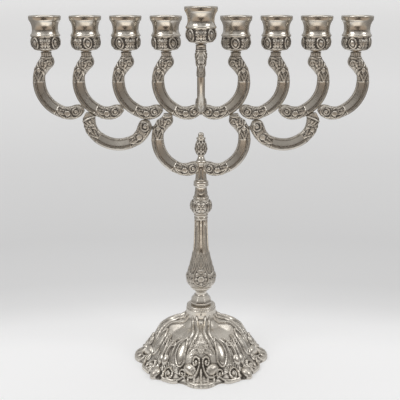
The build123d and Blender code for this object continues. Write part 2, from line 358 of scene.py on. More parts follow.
def antique_silver():
    """Worn silver plate: bright and warm on the high places, nearly black in the chasing."""
    material, tree, shader = new_material("antique_silver_plate")
    bright, soft, dark = (0.73, 0.69, 0.625), (0.50, 0.455, 0.40), (0.06, 0.048, 0.038)
    cloud = noise(tree, 55, 5)
    grain = noise(tree, 900, 3)
    speckle = remap(tree, noise(tree, 320, 5), 0.35, 0.65, -0.12, 0.12)
    # The darkening is patina in the hollows of the chasing; on the arms it also holds a painted dark
    # reflection stripe along each bar.
    depth = math_node(tree, "ADD", attribute(tree, "tarnish"), speckle)
    wear = mix(tree, remap(tree, cloud, 0.42, 0.72, 0.0, 0.55), bright, soft)
    gilded = mix(tree, attribute(tree, "gilt"), wear, (0.72, 0.52, 0.27))
    patina_and_painted_reflection_share = remap(tree, depth, 0.05, 0.75, 0.0, 0.93)
    tree.links.new(mix(tree, patina_and_painted_reflection_share, gilded, dark), shader.inputs["Base Color"])
    polish = remap(tree, cloud, 0.35, 0.7, 0.13, 0.24)
    dull = remap(tree, patina_and_painted_reflection_share, 0.0, 0.9, 0.0, 0.42)
    worked = remap(tree, attribute(tree, "matte"), 0.0, 1.0, 0.0, 0.2)
    fine = remap(tree, grain, 0.3, 0.7, 0.0, 0.06)
    rough = math_node(tree, "ADD", math_node(tree, "ADD", polish, dull), fine)
    rough = math_node(tree, "ADD", rough, worked)
    tree.links.new(rough, shader.inputs["Roughness"])
    tree.links.new(remap(tree, patina_and_painted_reflection_share, 0.3, 0.93, 1.0, 0.55), shader.inputs["Metallic"])
    bump(tree, shader, noise(tree, 260, 6), 0.0006, 0.16)
    return material


def plain_metal(name, colour, stain, roughness):
    """A turned metal part: fine lathe lines, stains and a little unevenness."""
    material, tree, shader = new_material(name)
    stains = remap(tree, noise(tree, 120, 6), 0.45, 0.7, 0.0, 0.8)
    tree.links.new(mix(tree, stains, colour, stain), shader.inputs["Base Color"])
    uneven = remap(tree, noise(tree, 500, 4), 0.3, 0.7, roughness, roughness + 0.2)
    tree.links.new(uneven, shader.inputs["Roughness"])
    shader.inputs["Metallic"].default_value = 1.0
    bump(tree, shader, noise(tree, 300, 3, (1, 1, 12)), 0.0004, 0.3)
    return material


silver = antique_silver()
steel = plain_metal("zinc_plated_steel", (0.50, 0.50, 0.48), (0.22, 0.18, 0.14), 0.3)
brass = plain_metal("dull_brass", (0.62, 0.45, 0.20), (0.26, 0.17, 0.08), 0.28)
solder = plain_metal("solder_grey", (0.46, 0.44, 0.41), (0.16, 0.14, 0.12), 0.42)


# ---- candle cups

cup_rim, cup_floor, cup_bead = 31.3, 5.6, 12.6
bowl_radius = 13.6  # where the chasing on the bowl is laid out
bowl_middle, half_repeat = 6.9, 10.7  # the chasing's mid-height, and half the way between two cartouches


def bowl_chasing(degrees, height):
    """Four oval cartouches round the bowl, with scrolls and leaves between them."""
    u = np.radians((degrees + 45) % 90 - 45) * bowl_radius
    v = height - bowl_middle
    side = half_repeat - np.abs(u)  # from the middle of the foliage between two cartouches
    oval = np.hypot((u + 0.12 * v) / 3.5, v / 4.7)
    rim = 0.75 * dome((oval - 1) * 4.0 / 0.62)
    shield = np.where(oval < 0.86, 0.42 * dome(oval / 0.9) + 0.35 * rosette(u, v, (0, 0), 1.9, 6, 1.0), 0)
    foliage = highest(
        leaf(side, v, [(0, -4.6), (0.1, -1), (0, 4.2)], 2.6, 0.75),
        spiral(side, v, (3.3, 2.3), 2.1, 250, -1.4, 0.95, 0.75),
        spiral(side, v, (3.4, -2.6), 1.8, 100, 1.3, 0.9, 0.7),
        leaf(side, v, [(1.0, 4.9), (3.4, 5.3), (6.2, 4.6)], 1.3, 0.6),
        leaf(side, v, [(1.0, -5.2), (3.6, -5.4), (6.6, -4.6)], 1.3, 0.6),
        wire(side, v, [(0.6, 0.2), (2.6, -0.2), (4.8, 0.4)], 0.9, 0.55),
    )
    ground = stipple(u, v, 0.9, 0.06)
    inside = rise(height, 0.9, 1.8) * (1 - rise(height, 11.9, 12.5))
    return inside * (highest(rim, shield, foliage * (oval > 1.05)) + ground - 0.5)


def candle_cup(place, x, y, neck_top, turn):
    """One cup: chased bowl, bead, plain waist, rolled lip and a gilt-tinged bore."""
    profile = turned(
        (10, [(2.1, 2.6), (2.1, 0), (8.5, 0)]),
        (46, [(8.5, 0), (10.9, 0.9), (13.2, 3.9), (13.9, 7.4), (13.3, 11.0), (12.9, cup_bead - 0.5)]),
        (12, [(12.9, cup_bead - 0.4), (13.5, cup_bead), (13.8, 13.6), (13.3, 14.6), (12.9, 15.0)]),
        (30, [(12.9, 15.0), (12.2, 17.0), (11.95, 19.4), (12.3, 22.6), (13.3, 25.4), (14.0, 26.6)]),
        (16, [(14.0, 26.6), (14.5, 27.3), (14.75, 28.4), (14.9, 30.4), (14.6, cup_rim), (13.6, cup_rim)]),
        (10, [(13.6, cup_rim), (12.9, 30.9), (12.2, 29.8), (11.4, 29.2)]),
        (10, [(11.4, 29.2), (11.1, 20), (11.1, cup_floor + 0.3)]),
        (5, [(11.1, cup_floor + 0.3), (10.8, cup_floor), (4.2, cup_floor)]),
        (4, [(4.2, cup_floor), (4.2, 2.6), (2.1, 2.6)]),
    )
    points, degrees, height = revolved(profile, 160)
    row = np.arange(len(profile))[:, None]
    first_in_bowl, first_above_bead, first_in_bore = 10, 55, 114
    on_bowl = (row >= first_in_bowl) & (row < first_above_bead)
    relief = np.where(on_bowl, bowl_chasing(degrees + turn, height), 0)
    wobble = 0.05 * np.sin(np.radians(3 * degrees + 40 * turn)) * rise(height, 15, 30)
    gilt = np.where(row >= first_in_bore, 0.75, 0.0) + 0 * relief
    grid_piece(
        f"cup_{place}", f"candle_cup_{place}", f"candle_cup_{place}",
        points + np.array([x, y, neck_top + seat_height]), relief + wobble, black_at=0.09,
        gilt=gilt, matte=(relief != 0) * 0.8,
    )


# ---- branches

rib_pitch = 1.38
rows_per_rib = 3


def bar_section(levels=30):
    """Points round a bar's section: how far across, from -1 at the outer edge to 1, and the face, 1 or -1."""
    angle = np.linspace(0, np.pi, levels)
    across = -np.sign(np.cos(angle)) * np.abs(np.cos(angle)) ** 0.9
    face = np.concatenate([np.ones(levels), -np.ones(levels - 2)])
    return np.concatenate([across, across[-2:0:-1]]), face


def arm_ladder(top):
    """The outer edge, inner edge and thickness of an arm, station by station from its head to its tail.

    Its top is a "neck" that carries a cup, a round "shoulder" without one, or a flared "cut" lower down."""
    stations = []
    if top == "neck":
        stations += [
            ((-27.6, 27.9), (-17.4, 27.9), 9.6), ((-27.8, 27.0), (-17.2, 27.0), 9.9),
            ((-27.2, 25.4), (-17.6, 25.4), 8.8), ((-27.6, 23.4), (-17.0, 23.4), 9.4),
        ]
    if top == "shoulder":
        stations += [((-25.6, 25.2), (-18.0, 24.8), 7.0), ((-28.0, 23.6), (-15.8, 22.8), 9.4)]
    if top != "cut":
        stations += [
            ((-29.0, 21.0), (-15.4, 20.6), 10.0), ((-30.8, 18.4), (-15.0, 17.4), 10.2),
            ((-32.6, 15.4), (-16.4, 14.0), 9.8), ((-34.2, 12.0), (-19.6, 10.8), 9.0),
        ]
    for angle in np.linspace(128.5 if top == "cut" else 167, 250, 16):
        turn = np.radians(angle)
        direction = np.array([np.cos(turn), np.sin(turn)])
        flare = 1 - rise(angle, 128, 175) if top == "cut" else 0
        outer, inner = (bar_outer - 2.6 * flare) * direction, (bar_inner - 3.4 * flare) * direction
        stations.append((tuple(outer), tuple(inner), 7.0 + 2.8 * flare))
    stations += [((-8.2, -35.9), (-6.2, -23.6), 7.6), ((-2.6, -36.7), (-1.8, -23.3), 8.8)]
    if top == "cut":
        stations += [
            ((2.4, -36.2), (2.0, -22.0), 9.4), ((7.6, -35.2), (6.8, -20.8), 10.2),
            ((11.8, -32.8), (11.2, -22.2), 9.0), ((14.0, -29.2), (13.8, -25.6), 5.6),
        ]
    else:
        stations += [
            ((2.4, -35.9), (2.6, -21.9), 9.4), ((7.2, -33.6), (7.2, -21.8), 9.4),
            ((10.0, -31.6), (10.6, -23.6), 8.2), ((11.3, -29.3), (11.8, -26.6), 5.2),
        ]
    outer, inner, thickness = (np.array(column, float) for column in zip(*stations))
    rows = np.hstack([outer, inner, thickness[:, None]])
    path = smooth_path(rows, 10)
    middle = (path[:, 0:2] + path[:, 2:4]) / 2
    walked = np.concatenate([[0], np.cumsum(np.hypot(*np.diff(middle, axis=0).T))])
    at = np.arange(0, walked[-1], rib_pitch / rows_per_rib)
    return np.stack([np.interp(at, walked, column) for column in path.T], axis=1), at


def head_chasing(x, z):
    """Acanthus on an arm's head: a chevron tip on the bar, lobes up the body, a scroll on the bulge."""
    line, frond, curl = pens(x, z)
    return highest(
        line([(-30.4, -0.4), (-31.6, 3.0), (-33.4, 7.4)], 1.5, 0.75, (0.9, 0.6)),
        line([(-30.4, -0.4), (-29.2, 3.0), (-27.0, 7.0)], 1.5, 0.75, (0.9, 0.6)),
        frond([(-30.2, 7.6), (-30.3, 5.2), (-30.4, 2.6)], 1.6, 0.6),
        frond([(-32.4, 10.8), (-34.2, 8.4), (-35.0, 5.4)], 1.8, 0.65),
        frond([(-26.6, 10.0), (-25.2, 7.4), (-25.2, 4.6)], 1.7, 0.65),
        rosette(x, z, (-29.6, 10.6), 2.1, 5, 0.8),
        frond([(-32.0, 13.6), (-33.4, 12.6), (-34.4, 10.4)], 1.6, 0.6),
        frond([(-26.8, 13.0), (-24.0, 12.0), (-22.8, 9.4)], 1.7, 0.65),
        frond([(-29.4, 13.4), (-31.0, 15.4), (-30.8, 18.0)], 1.8, 0.65),
        frond([(-27.8, 13.8), (-28.4, 17.0), (-28.0, 20.6)], 1.8, 0.7),
        frond([(-26.0, 13.8), (-25.6, 17.0), (-25.8, 20.8)], 1.8, 0.7),
        frond([(-24.2, 12.8), (-23.0, 15.8), (-23.8, 19.8)], 1.7, 0.65),
        curl((-19.2, 16.8), 3.1, 200, -1.5, 1.1, 0.9),
        frond([(-22.8, 21.0), (-20.2, 21.6), (-17.0, 20.6)], 1.4, 0.6),
        line([(-28.4, 22.4), (-22.4, 22.0), (-16.4, 22.2)], 0.9, 0.55, (1, 1)),
    )


def tail_chasing(x, z, scroll):
    """A pointed leaf tip, a rosette and a scroll on an arm's tail; scroll is its centre and radius."""
    line, frond, curl = pens(x, z)
    *scroll_centre, scroll_radius = scroll
    return highest(
        frond([(-7.8, -31.0), (-11.2, -29.4), (-14.6, -26.9)], 2.2, 0.7),
        line([(-8.0, -27.4), (-11.4, -26.8), (-14.8, -26.6)], 1.2, 0.6, (0.9, 0.5)),
        line([(-8.0, -34.0), (-11.6, -31.6), (-14.8, -26.6)], 1.2, 0.6, (0.9, 0.5)),
        frond([(-7.0, -25.6), (-9.8, -24.6), (-12.4, -22.8)], 1.5, 0.6),
        frond([(-6.6, -35.2), (-10.2, -34.4), (-13.2, -32.8)], 1.5, 0.6),
        rosette(x, z, (-4.6, -30.2), 2.7, 6, 0.85),
        frond([(-2.8, -26.6), (-4.8, -25.2), (-7.2, -24.8)], 1.4, 0.6),
        frond([(-2.2, -33.8), (-4.8, -34.8), (-7.6, -34.2)], 1.4, 0.6),
        curl(scroll_centre, scroll_radius, 90, 1.4, 1.2, 0.9),
        frond([(-1.4, -24.8), (1.4, -23.6), (5.6, -23.4)], 1.4, 0.6),
        frond([(-1.0, -33.8), (2.0, -34.4), (6.0, -33.2)], 1.4, 0.6),
        frond([(7.6, -31.8), (8.8, -29.2), (8.6, -26.4)], 1.5, 0.6),
        frond([(9.4, -30.4), (10.6, -28.0), (10.2, -25.2)], 1.3, 0.5),
    )


def bar_depth(across):
    """Half the thickness of the bar, from its outer edge at -6 to its inner edge at 6.

    A round swell next to the outer edge, a flat bevel, a groove, and a ribbed edge on the inner side."""
    levels = [
        (-6, 0), (-5.9, 0.9), (-5.3, 1.9), (-4.6, 2.7), (-3.9, 3.25), (-3.0, 3.48), (-2.0, 3.5), (-1.2, 3.4),
        (-0.8, 3.15), (-0.5, 3.2), (3.6, 1.8), (3.95, 1.45), (4.25, 1.9), (4.9, 1.85), (5.6, 1.4), (5.9, 0.8),
        (6, 0),
    ]
    at, depth = zip(*levels)
    return np.interp(across, at, depth)


head_ends, tail_starts, chasing_fades = 179.5, 240.5, 1.5  # degrees round an arm's arc
head_length = 60  # an arm's head lies within this distance of its top


def arm(name, node, place, top="neck", discs=()):
    """One arm casting. place maps its plane to the row frame; discs are the arms it is soldered against."""
    ladder, at = arm_ladder(top)
    across, face = bar_section()
    outer, inner, thickness = ladder[:, None, 0:2], ladder[:, None, 2:4], ladder[:, 4, None]
    plan = (outer + inner) / 2 + (inner - outer) / 2 * across[None, :, None]
    x, z = plan[..., 0], plan[..., 1]
    angle = np.degrees(np.arctan2(z, x)) % 360
    w = np.abs(across)[None, :] + 0 * x

    is_tail = rise(angle, tail_starts, tail_starts + chasing_fades)
    is_head = np.where(x < 0, 1 - rise(angle, head_ends, head_ends + chasing_fades), 0)
    is_head = is_head * (at[:, None] < head_length)
    chased = np.maximum(is_tail, is_head)

    full = thickness / 2 * (1 - w ** 2.6) ** 0.42
    from_middle = 6 * across[None, :] + 0 * x
    depth = full * chased + bar_depth(from_middle) * (1 - chased)
    depth = depth * face[None, :]

    rib = np.where(np.arange(len(at)) % rows_per_rib == 0, 0.24, -0.12)[:, None]
    ribs = rib * rise(from_middle, 4.1, 4.5)
    ground = stipple(x, z, 1.0, 0.12) - 0.25
    head = head_chasing(x, z)
    if top == "neck":
        flutes = 0.5 * np.abs(np.cos(2.5 * np.pi * across[None, :])) * rise(z, 23.2, 23.6)
        flutes = flutes * (1 - rise(z, 26.0, 26.4)) + 0 * x
        head = highest(head * (z < 23.0), flutes)
    if top == "cut":
        cut_line = wire(x, z, [(-15.6, 14.4), (-22.4, 18.6), (-28.6, 21.0)], 1.6, 0.9, (1, 1))
        head = highest(head * (angle > 144), cut_line)
    head = head + ground
    scroll = (6.8, -28.2, 4.8) if top == "cut" else (3.4, -28.6, 3.6)
    relief = ribs * (1 - chased) + is_tail * (tail_chasing(x, z, scroll) + ground) + is_head * head

    closing = np.ones(len(at))
    closing[-10:] = np.sqrt(1 - (np.arange(1, 11) / 10) ** 2)
    closing[0], closing[1] = 0.0, 0.9
    centre = plan.mean(axis=1, keepdims=True)
    plan = centre + (plan - centre) * closing[:, None, None]
    flat = np.stack([plan[..., 0], depth * closing[:, None], plan[..., 1]], axis=-1)
    flat = flat + grid_normals(flat) * (relief * closing[:, None])[..., None]
    for disc_x, disc_z, radius in discs:
        dx, dz = flat[..., 0] - disc_x, flat[..., 2] - disc_z
        reach = np.maximum(np.hypot(dx, dz), 1e-6)
        push = np.maximum(radius, reach) / reach
        flat = np.stack([disc_x + dx * push, flat[..., 1], disc_z + dz * push], axis=-1)
    # Dark lines in the grooves by the ribs and at the bevel, plus a painted dark reflection: a stripe
    # darkened into the bar's colour near its outer edge.
    by_ribs = np.exp(-((from_middle - 3.95) / 0.3) ** 2)
    by_bevel = 0.6 * np.exp(-((from_middle + 0.8) / 0.25) ** 2)
    painted_dark_reflection_stripe = 0.72 * swell((from_middle + 3.0) / 1.2)
    groove_lines_and_painted_reflection = (by_ribs + by_bevel + painted_dark_reflection_stripe) * (1 - chased)
    matte = np.maximum(chased, 0.45 * rise(from_middle, -0.9, -0.6))
    tarnish = np.clip(tarnish_of(relief, 0.2) + 0.9 * groove_lines_and_painted_reflection, -1, 1)
    show(name, node, "branch_head", "silver_plate", silver, [place(flat)], tarnish=tarnish, matte=matte)


def in_row(side, x, z, tilt=0.0):
    """Places an arm in the plane of the row, its head outwards."""
    turn = np.radians(tilt)

    def place(flat):
        lx, lz = flat[..., 0], flat[..., 2]
        return np.stack([
            side * x - side * (lx * np.cos(turn) - lz * np.sin(turn)),
            flat[..., 1],
            z + lx * np.sin(turn) + lz * np.cos(turn),
        ], axis=-1)
    return place


def disc_in_plane(side, x, z, tilt, disc_x, disc_z, radius=bar_touch):
    """A disc that keeps an arm off its neighbour, moved from the row into the arm's own plane."""
    turn = np.radians(tilt)
    dx, dz = -side * (disc_x - side * x), disc_z - z
    return dx * np.cos(turn) + dz * np.sin(turn), -dx * np.sin(turn) + dz * np.cos(turn), radius


def tail_bulge(side, i):
    """The round end of a row arm's tail, as a disc in the row: its place and radius."""
    return side * (row_arc_x[i] - 4.0), row_arc_z - 28.5, 8.2


def branches():
    """The eight row arms, two bowl arms, two main arms and the shamash arm, with the cups on them."""
    neck_top = row_arc_z + neck_height
    for side, places in ((-1, (4, 3, 2, 1)), (1, (5, 6, 7, 8))):
        hand = "left" if side < 0 else "right"
        for i, place in enumerate(places):
            discs = [(cup_pitch, 0, bar_touch)] if i else []
            arm(f"branch_{place}", f"arm_{place}", in_row(side, row_arc_x[i], row_arc_z), discs=discs)
            cup_x = side * (row_arc_x[i] + neck_offset)
            candle_cup(place, cup_x, 0, neck_top, 37 * place)
        bowl_plane = (side, bowl_arc_x, bowl_arc_z, bowl_tilt)
        near = [disc_in_plane(*bowl_plane, side * x, row_arc_z) for x in row_arc_x[1:3]]
        near.append(disc_in_plane(*bowl_plane, *tail_bulge(side, 3)))
        near.append(disc_in_plane(*bowl_plane, side * main_arc_x, main_arc_z))
        arm(f"bowl_branch_{hand}", f"bowl_arm_{hand}", in_row(*bowl_plane), "cut", near)
        main_plane = (side, main_arc_x, main_arc_z, 0)
        near = [
            disc_in_plane(*main_plane, side * row_arc_x[0], row_arc_z),
            disc_in_plane(*main_plane, *tail_bulge(side, 1)),
        ]
        arm(f"main_branch_{hand}", f"main_arm_{hand}", in_row(*main_plane), "shoulder", near)

    def towards_front(flat):
        return np.stack([-flat[..., 1], shamash_arc_y + flat[..., 0], shamash_arc_z + flat[..., 2]], axis=-1)
    arm("shamash_branch", "shamash_arm", towards_front)
    candle_cup("shamash", 0, shamash_arc_y - neck_offset, shamash_arc_z + neck_height, 45 - FRONT)


def solder_fillets():
    """Lumpy beads of solder where the castings touch."""
    touch = np.radians(222)  # where on its arc a row arm meets the next arm's tail
    touch_x, touch_z = bar_outer * np.cos(touch), bar_outer * np.sin(touch)
    bowl_to_row, bowl_to_main, main_to_hub = (52.3, 248.8), (46.4, 239.4), (5.6, main_arc_z - 28.5)
    spots = [(0, row_arc_z - 25.5), (0, row_arc_z - 30)]
    for side in (-1, 1):
        spots += [(side * (x - touch_x), row_arc_z + touch_z) for x in row_arc_x[:3]]
        spots += [(side * x, z) for x, z in (bowl_to_row, bowl_to_main, main_to_hub)]
    angle = np.linspace(0, 2 * np.pi, 24, endpoint=False)
    tilt = np.linspace(-np.pi / 2, np.pi / 2, 15)[:, None]
    beads = []
    for x, z in spots:
        size = 1.8 + 0.25 * np.sin(3 * angle + x) * np.cos(tilt)
        across, up = size * np.cos(tilt) * np.cos(angle), size * np.cos(tilt) * np.sin(angle)
        beads.append(np.stack([x + across, 1.3 * size * np.sin(tilt) + 0 * angle, z + up], axis=-1))
    show("solder_fillets", "solder_joints", "branch_head", "solder", solder, beads)


# ---- stem

def finial():
    """An acorn bud on a slim waist, capped by a ring and a ball."""
    profile = turned(
        (12, [(2.5, 204.2), (3.6, 204.2), (3.6, 208.5), (4.1, 208.6)]),
        (44, [
            (4.1, 208.6), (3.5, 210.4), (2.9, 212.3), (4.4, 214.4), (5.9, 217.6), (6.1, 220.3),
            (5.2, 224.6), (3.8, 228.2),
        ]),
        (12, [(3.8, 228.2), (4.3, 228.8), (4.3, 230.2), (3.4, 230.9), (2.4, 231.2)]),
        (14, [(2.4, 231.2), (2.9, 232.4), (2.5, 234.2), (1.4, 235.2), (0.0, 235.4)]),
    )
    points, degrees, height = revolved(profile, 96)
    u = from_front(degrees, 8) / 45 * 4.8
    gap = 2.4 - np.abs(u)
    v = height - 220.5
    scales = np.zeros_like(u)
    for tip in (-3.0, 1.2, 5.4):
        scales = highest(
            scales,
            leaf(u, v, [(0, tip - 3.6), (0, tip - 1.6), (0, tip)], 2.5, 0.6),
            leaf(gap, v, [(0, tip - 1.5), (0, tip + 0.5), (0, tip + 2.1)], 2.5, 0.6),
        )
    bud = rise(height, 213.4, 214.2) * (1 - rise(height, 227.6, 228.2))
    grid_piece(
        "acorn_finial", "finial", "finial", points, bud * (scales - 0.3), black_at=0.11, matte=0.8 * bud
    )


def collar():
    """The small beaded collar under the finial."""
    profile = turned(
        (20, [(3.7, 204.1), (4.2, 204.1), (4.8, 205.6), (4.9, 207.2), (4.3, 208.4), (3.7, 208.4)]),
    )
    points, degrees, height = revolved(profile, 96)
    beads = 0.25 * np.abs(np.cos(np.radians(8 * degrees))) * dome((height - 206.6) / 1.1)
    grid_piece("finial_ring", "finial_collar", "finial_collar", points, beads)


def faceted(degrees, sides, sharpness=1.0):
    """How a round section shrinks to a polygon with a flat towards the front: 1 at corners."""
    half = np.pi / sides
    turn = np.radians(from_front(degrees, sides))
    return 1 + sharpness * (np.cos(half) / np.cos(turn) - 1)


def hub():
    """The eight-sided block of the branch head."""
    profile = turned(
        (4, [(2.6, 188.1), (5.6, 188.1)]),
        (40, [
            (5.6, 188.1), (5.9, 189.4), (5.6, 190.6), (5.2, 196), (4.5, 202.4), (4.7, 203.4), (4.5, 204.0),
        ]),
        (3, [(4.5, 204.0), (2.6, 204.0)]),
    )
    points, degrees, height = revolved(profile, 96)
    points[..., :2] *= (faceted(degrees, 8, 0.9) * 1.03)[..., None]
    u = from_front(degrees, 4) / 90 * 8
    panel = -0.5 * dome(np.hypot(u / 1.7, (height - 195) / 5.6))
    grid_piece("hub", "branch_hub", "branch_head", points, panel)


def spool():
    """The turned spool under the hub, with its double flange."""
    profile = turned(
        (4, [(2.8, 172.2), (6.8, 172.2)]),
        (28, [(6.8, 172.2), (6.6, 173.4), (6.1, 176), (5.8, 179.6), (5.9, 181.6), (6.6, 182.8)]),
        (10, [(6.6, 182.8), (7.3, 183.2), (7.4, 184.4), (6.8, 185.1)]),
        (12, [(6.8, 185.1), (7.2, 185.6), (7.1, 187.0), (6.3, 188.0), (2.8, 188.0)]),
    )
    points, degrees, height = revolved(profile, 96)
    u = from_front(degrees, 4) / 90 * 9.2
    swag = wire(u, height, [(-4.4, 181.4), (-2.2, 177.2), (0, 175.8), (2.2, 177.2), (4.4, 181.4)], 1.2, 0.35)
    grid_piece("spool", "stem_spool", "stand", points, swag)


def ring_under_spool():
    """The milled ring on top of the flower knop."""
    profile = turned(
        (18, [(2.8, 170.05), (6.9, 170.05), (7.7, 170.6), (7.7, 171.6), (6.9, 172.15), (2.8, 172.15)]),
    )
    points, degrees, height = revolved(profile, 120)
    milled = 0.16 * np.cos(np.radians(30 * degrees)) * dome((height - 171.1) / 0.9)
    grid_piece("milled_ring", "knop_ring", "stand", points, milled)


def knop():
    """The knop with four flowers."""
    profile = turned(
        (3, [(2.8, 152.05), (6.2, 152.05)]),
        (58, [
            (6.2, 152.05), (7.0, 153.6), (6.9, 155.0), (8.4, 156.8), (9.6, 160), (9.9, 163.6), (9.0, 167.4),
            (7.0, 169.95),
        ]),
        (3, [(7.0, 169.95), (2.8, 169.95)]),
    )
    points, degrees, height = revolved(profile, 168)
    u = from_front(degrees, 4) / 90 * 15
    v = height - 162.6
    r = np.hypot(u, v)
    gap = 7.5 - np.abs(u)
    relief = highest(
        0.3 * dome(r / 5.6) + 0.5 * swell((r - 5.1) / 0.6),
        0.3 * dome(r / 5.6) + rosette(u, v, (0, 0), 4.6, 6, 0.8),
        leaf(gap, v, [(0, -6), (0, 0), (0, 6)], 2.0, 0.7),
        leaf(gap, v, [(0.6, -5.6), (1.8, -4.2), (3.4, -4.4)], 1.5, 0.6),
        leaf(gap, v, [(0.6, 4.6), (1.8, 4.0), (3.2, 4.6)], 1.5, 0.6),
    ) + stipple(u, v, 0.9, 0.06)
    zone = rise(height, 154.6, 156) * (1 - rise(height, 168.6, 169.6))
    grid_piece(
        "four_flower_knop", "flower_knop", "stand", points, relief * zone, black_at=0.13, matte=0.7 * zone
    )


def shaft():
    """The baluster: eight flat panels above a chased bulb."""
    profile = turned(
        (3, [(2.8, 77.05), (8.8, 77.05)]),
        (10, [(8.8, 77.05), (10.4, 77.3), (10.9, 78.6), (10.6, 79.8)]),
        (150, [
            (10.6, 79.8), (12.9, 81.0), (14.4, 84.7), (14.6, 90), (12.6, 97.4), (10.2, 105.9), (8.5, 113.3),
            (7.4, 121.7), (6.6, 137.3), (6.1, 149.2),
        ]),
        (8, [(6.1, 149.2), (6.6, 149.8), (6.6, 151.2), (6.1, 151.95)]),
        (3, [(6.1, 151.95), (2.8, 151.95)]),
    )
    points, degrees, height = revolved(profile, 200)
    slim = rise(height, 112, 120) * (1 - rise(height, 148, 149.5))
    points[..., :2] *= (1 + slim * (faceted(degrees, 8, 1.15) * 1.04 - 1))[..., None]

    body = profile[12:161]  # the rows of the third run
    radius = np.interp(height[:, 0], body[:, 1], body[:, 0])[:, None]
    corner = np.abs(np.abs(from_front(degrees, 8)) - 22.5) / 22.5 * radius * np.pi / 8
    borders = slim * (0.35 * swell(corner / 0.5) - 0.5 * swell((corner - 0.95) / 0.5))
    tips = from_front(degrees, 8) / 45 * 5.4
    top_leaves = leaf(tips, height, [(0, 149.4), (0, 146.4), (0, 143.0)], 3.0, 0.7)

    u = from_front(degrees, 4) / 90 * 21
    gap = 10.5 - np.abs(u)
    v = height
    shield_edge = [(0, 116.5), (-3.4, 110), (-5.0, 102), (-7.0, 94), (-6.2, 86.5), (0, 82.6)]
    mirrored = -np.abs(u)
    bulb = highest(
        wire(mirrored, v, shield_edge, 1.1, 0.8, (1, 1)),
        rosette(u, v, (0, 90.4), 2.9, 6, 0.95),
        rosette(mirrored, v, (-4.0, 94.6), 1.7, 5, 0.75),
        rosette(u, v, (0, 98.0), 1.9, 5, 0.75),
        leaf(u, v, [(0, 101), (0, 106), (0, 112)], 2.2, 0.75),
        leaf(mirrored, v, [(-1.4, 94.4), (-2.4, 96.8), (-2.2, 100.4)], 1.4, 0.65),
        leaf(mirrored, v, [(-1.2, 101.4), (-2.8, 103.6), (-2.2, 107.8)], 1.6, 0.7),
        leaf(mirrored, v, [(-3.4, 97.6), (-4.4, 99.6), (-3.4, 103.4)], 1.5, 0.65),
        leaf(mirrored, v, [(-3.0, 90.4), (-4.8, 91.0), (-5.8, 89.4)], 1.4, 0.65),
        leaf(mirrored, v, [(-2.4, 87.4), (-4.2, 86.8), (-5.4, 87.6)], 1.5, 0.65),
        leaf(mirrored, v, [(-0.4, 86.8), (-0.6, 85.4), (-0.4, 83.8)], 1.3, 0.6),
        spiral(gap, v, (2.7, 87.8), 1.9, 100, 1.4, 0.95, 0.8),
        spiral(gap, v, (2.2, 93.6), 1.7, 260, -1.4, 0.9, 0.75),
        leaf(gap, v, [(0, 83.4), (0, 88), (0, 95)], 1.6, 0.75),
        leaf(gap, v, [(0.2, 96), (0.4, 101), (0.2, 107)], 1.8, 0.75),
        leaf(gap, v, [(1.6, 97.6), (2.9, 101.6), (2.2, 107.4)], 1.6, 0.7),
        leaf(gap, v, [(1.2, 107), (2.6, 111), (3.6, 117)], 1.6, 0.65),
        leaf(gap, v, [(0.4, 108), (0.6, 112.6), (0.2, 118)], 1.6, 0.65),
    )
    zone = rise(height, 81.4, 82.4) * (1 - rise(height, 113, 118))
    relief = zone * (bulb + stipple(u, v, 1.0, 0.14) - 0.2) + borders + top_leaves * (height > 142)
    grid_piece("baluster", "baluster_shaft", "stand", points, relief, black_at=0.28, matte=0.8 * zone)


def shaft_foot():
    """The plain turned foot of the shaft."""
    profile = turned(
        (3, [(2.8, 69.85), (6.2, 69.85)]),
        (28, [(6.2, 69.85), (5.6, 70.8), (5.9, 73.2), (7.2, 75.4), (9.2, 76.2), (9.5, 76.9)]),
        (3, [(9.5, 76.9), (2.8, 76.9)]),
    )
    points, _, height = revolved(profile, 96)
    line = -0.25 * np.exp(-((height - 74.4) / 0.35) ** 2)
    grid_piece("foot_of_shaft", "shaft_foot", "stand", points, line)


def knob():
    """The eight-sided knob above the base."""
    profile = turned(
        (3, [(2.8, 59.55), (9.8, 59.55)]),
        (34, [(9.8, 59.55), (10.6, 60.6), (10.7, 62.6), (9.8, 65.2), (7.6, 68.2), (6.7, 69.4), (6.7, 69.75)]),
        (3, [(6.7, 69.75), (2.8, 69.75)]),
    )
    points, degrees, height = revolved(profile, 160)
    points[..., :2] *= (faceted(degrees, 8, 1.0) * 1.04)[..., None]
    line = -0.3 * np.exp(-((height - 61.0) / 0.3) ** 2)
    grid_piece("octagon_knob", "faceted_knob", "stand", points, line)


# ---- base

dome_line = spaced(smooth_path([
    (17.2, 47.2), (20.6, 45.6), (25.5, 44.2), (33.6, 40.9), (41, 35.3), (45.6, 28.9), (50.2, 22.4),
    (54.6, 15.6), (57.6, 10.6), (61.2, 8.0), (66.0, 5.6), (69.0, 3.4),
]), 172)
crest_height = 1.3  # the dome line passes this far above the ground of the chasing
dome_walk = dome_line[0, 0] + np.concatenate([[0], np.cumsum(np.hypot(*np.diff(dome_line, axis=0).T))])


def base_outline(degrees):
    """The base's edge: a shell lobe on each side, a scroll at each corner, notches between."""
    eighth = [(0, 69.2), (5, 68.7), (10, 66.4), (14.5, 63.0), (19, 61.9), (26, 64.0), (36, 64.4), (45, 68.0)]
    quarter = eighth + [(90 - angle, radius) for angle, radius in eighth[-2::-1]]
    lobes = smooth_path(quarter, 12)
    return np.interp(np.abs(from_front(degrees, 4)), lobes[:, 0], lobes[:, 1])


def unrolled(x, y):
    """From a place seen from above to its place on the dome's unrolled sheet."""
    reach = np.maximum(np.hypot(x, y), 1e-6)
    walk = np.where(reach < dome_line[0, 0], reach, np.interp(reach, dome_line[:, 0], dome_walk))
    return x * walk / reach, y * walk / reach


